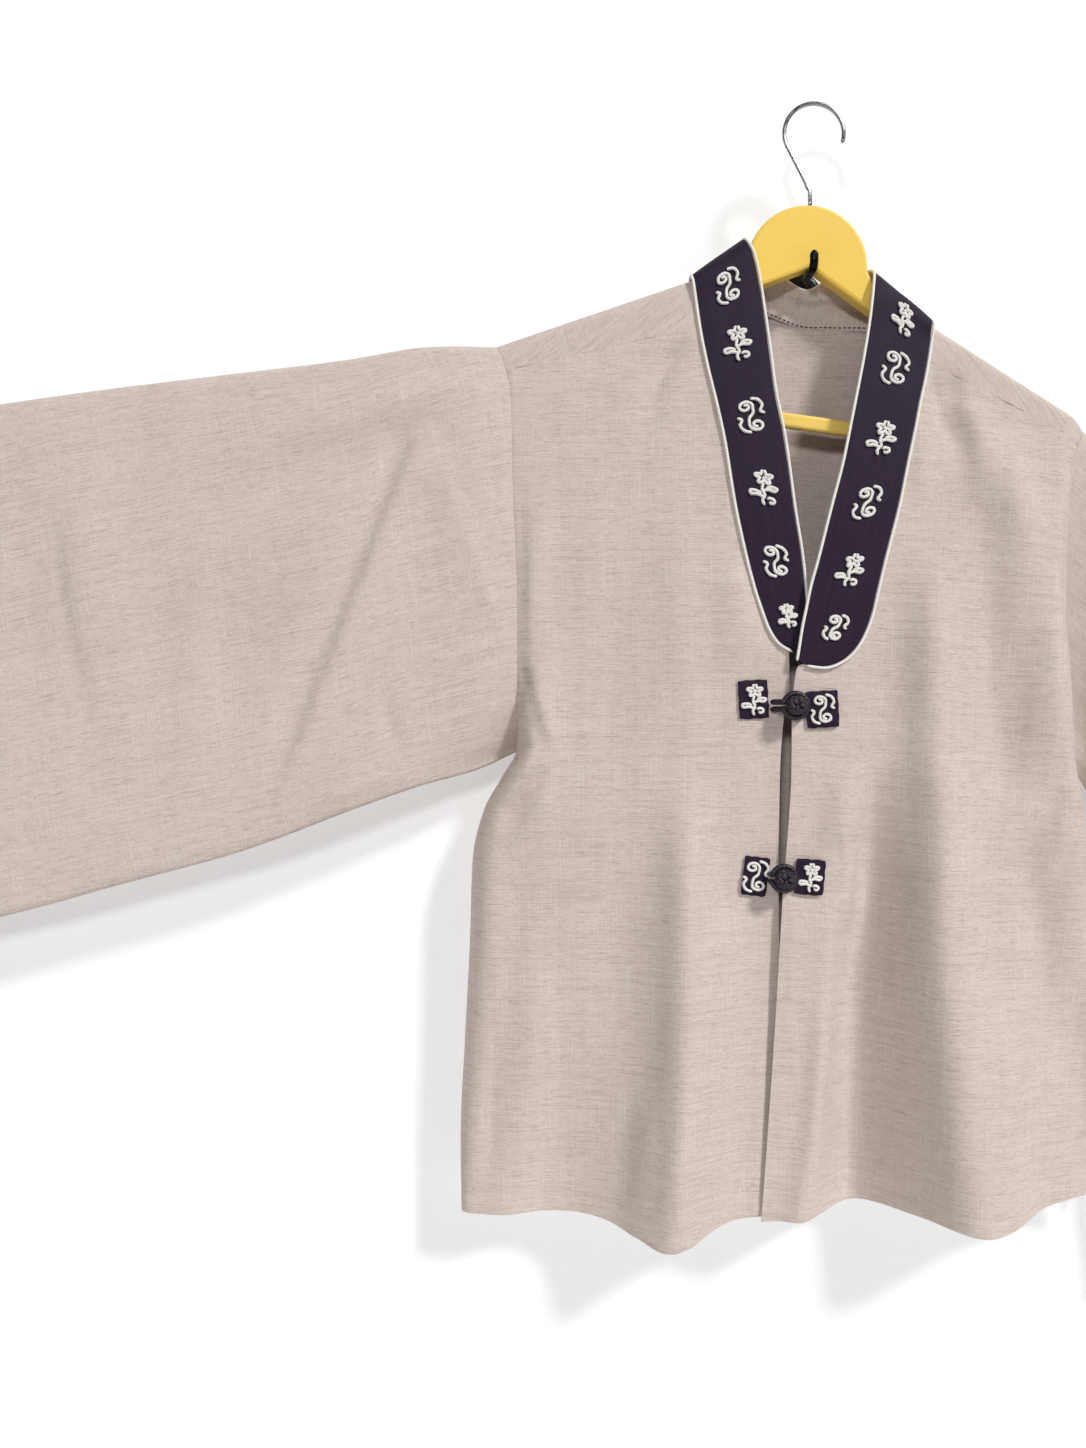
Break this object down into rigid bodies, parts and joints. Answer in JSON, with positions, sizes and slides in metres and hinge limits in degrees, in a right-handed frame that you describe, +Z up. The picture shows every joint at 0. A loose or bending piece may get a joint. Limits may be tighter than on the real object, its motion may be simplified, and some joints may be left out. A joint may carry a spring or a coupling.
{
  "type": "kimono jacket on a hanger and wall hook",
  "caption": "Short wide-sleeved linen jacket with a dark piped collar band and knotted loop closures, hung open at the neck on a wooden hanger from a wall hook.",
  "frame": {"origin": "on the wall, at the middle of the wall hook's round plate, where its fixing goes in", "axes": "+Z up, +X to the viewer's right when looking at the jacket's front, -Y out of the wall towards the viewer"},
  "size_m": [1.0978, 0.0856, 0.8809],
  "materials": {
    "linen": "slubbed plain weave, matt",
    "dark_band": "dark purple-black cloth with a soft sheen",
    "piping": "off-white corded piping",
    "yellow_paint": "satin yellow paint on wood",
    "steel_wire": "bright drawn wire",
    "black_enamel": "gloss black enamel"
  },
  "bodies": {
    "root": {"front_right": "linen", "front_left": "linen", "back": "linen", "sleeve_right": "linen", "sleeve_left": "linen", "collar_band": "dark_band", "collar_facing": "linen", "piping_inner": "piping", "piping_outer": "piping", "tab_right_upper": "dark_band", "tab_left_upper": "dark_band", "tab_right_lower": "dark_band", "tab_left_lower": "dark_band", "knot_upper": "dark_band", "knot_lower": "dark_band", "loop_upper": "dark_band", "loop_lower": "dark_band", "hanger_board": "yellow_paint", "hanger_bar": "yellow_paint", "hanger_hook": "steel_wire", "wall_plate": "black_enamel", "wall_bar": "black_enamel"}
  },
  "joints": []
}
